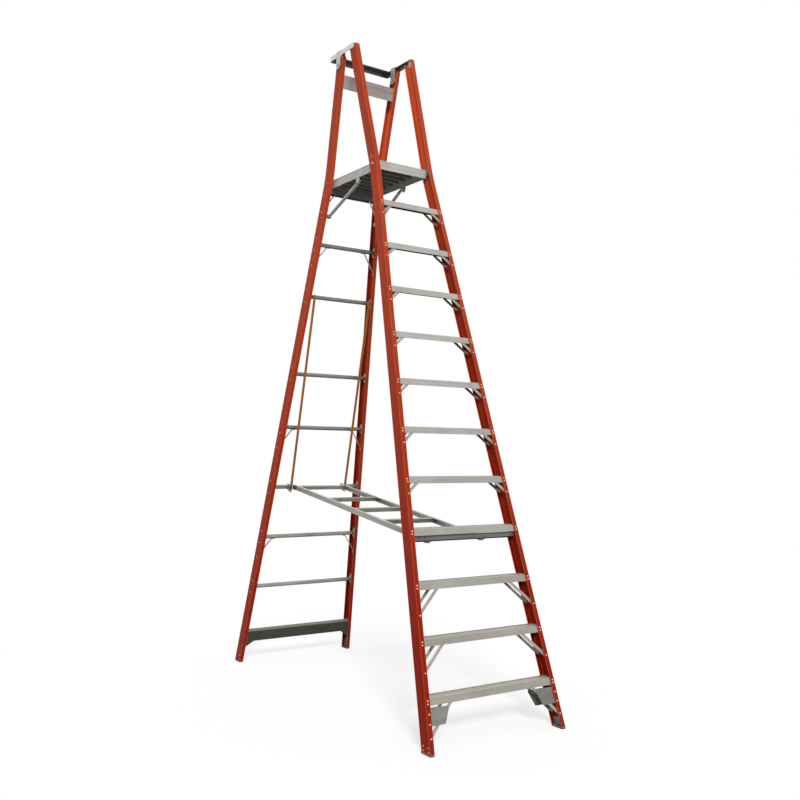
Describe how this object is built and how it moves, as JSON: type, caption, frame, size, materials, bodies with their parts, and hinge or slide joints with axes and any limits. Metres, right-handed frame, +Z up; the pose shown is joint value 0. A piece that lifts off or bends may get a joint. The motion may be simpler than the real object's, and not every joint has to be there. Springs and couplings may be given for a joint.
{
  "type": "platform step ladder",
  "caption": "Tall folding platform step ladder with flat treads on fibreglass channel rails, a rear rung section, a standing platform, a folding spreader and a U-shaped guard rail.",
  "frame": {"origin": "on the floor, on the centre plane, midway between the toes of the front feet and the heels of the rear feet", "axes": "+X to the climber's right, +Y from the steps to the rear legs, +Z up"},
  "size_m": [0.9716, 2.491, 4.3393],
  "materials": {
    "fibreglass": "satin pultruded fibreglass",
    "guide_fibreglass": "satin",
    "aluminium": "mill extruded",
    "steel": "zinc plated",
    "olive_paint": "satin",
    "black_plastic": "matte",
    "brass": "satin",
    "rubber": "matte"
  },
  "bodies": {
    "front_section": {"front_rail_left": "fibreglass", "front_rail_right": "fibreglass", "step_01": "aluminium", "step_02": "aluminium", "step_03": "aluminium", "step_04": "aluminium", "step_05": "aluminium", "step_06": "aluminium", "step_07": "aluminium", "step_08": "aluminium", "step_09": "aluminium", "step_10": "aluminium", "step_11": "aluminium", "long_step_braces": "aluminium", "short_step_braces": "aluminium", "foot_gussets": "aluminium", "front_shoes": "steel", "front_pads": "rubber", "guard_rail": "aluminium", "guard_straps": "aluminium", "hinge_bracket_left": "steel", "hinge_bracket_right": "steel", "hinge_bolts": "steel", "pivot_plates": "steel", "pivot_bolts": "steel", "spreader_carrier": "steel", "spreader_pins": "steel"},
    "rear_section": {"rear_rail_left": "fibreglass", "rear_rail_right": "fibreglass", "rear_shoes": "steel", "rear_pads": "rubber", "rung_1": "aluminium", "rung_2": "aluminium", "rung_3": "aluminium", "rung_4": "aluminium", "rung_5": "aluminium", "rung_6": "aluminium", "rung_7": "aluminium", "rung_brackets": "steel", "rung_braces": "aluminium", "base_channel": "olive_paint", "base_gussets": "aluminium", "platform_rest": "aluminium", "back_panel": "aluminium", "panel_clip": "brass", "strut_clevises": "steel", "strut_pins": "steel", "guide_bar_left": "guide_fibreglass", "guide_bar_right": "guide_fibreglass", "guide_saddles": "steel", "guide_hooks": "steel"},
    "platform": {"platform_deck": "aluminium", "platform_frame": "aluminium"},
    "strut_left": {"strut_left": "aluminium"},
    "strut_right": {"strut_right": "aluminium"},
    "spreader": {"spreader_side_left": "aluminium", "spreader_side_right": "aluminium", "spreader_crosses": "aluminium", "spreader_slippers": "black_plastic"}
  },
  "joints": [
    {"name": "rear_fold", "type": "hinge", "parent": "front_section", "child": "rear_section", "pos_m": [0, 0.29398, 4.24122], "axis": [-1, 0, 0], "range_deg": [0, 29]},
    {"name": "platform_tilt", "type": "hinge", "parent": "front_section", "child": "platform", "pos_m": [0, -0.14962, 3.45175], "axis": [1, 0, 0], "range_deg": [0, 74]},
    {"name": "strut_swing_left", "type": "hinge", "parent": "rear_section", "child": "strut_left", "pos_m": [-0.19396, 0.46482, 3.2244], "axis": [-1, 0, 0], "range_deg": [0, 36.1]},
    {"name": "strut_swing_right", "type": "hinge", "parent": "rear_section", "child": "strut_right", "pos_m": [0.19396, 0.46482, 3.2244], "axis": [-1, 0, 0], "range_deg": [0, 36.1]},
    {"name": "spreader_lift", "type": "hinge", "parent": "front_section", "child": "spreader", "pos_m": [0, -0.79338, 1.0725], "axis": [1, 0, 0], "range_deg": [0, 62]}
  ],
  "couplings": [
    {"joint": "platform_tilt", "follows": "rear_fold", "ratio": 2.5517},
    {"joint": "strut_swing_left", "follows": "rear_fold", "ratio": 1.2448},
    {"joint": "strut_swing_right", "follows": "rear_fold", "ratio": 1.2448}
  ]
}
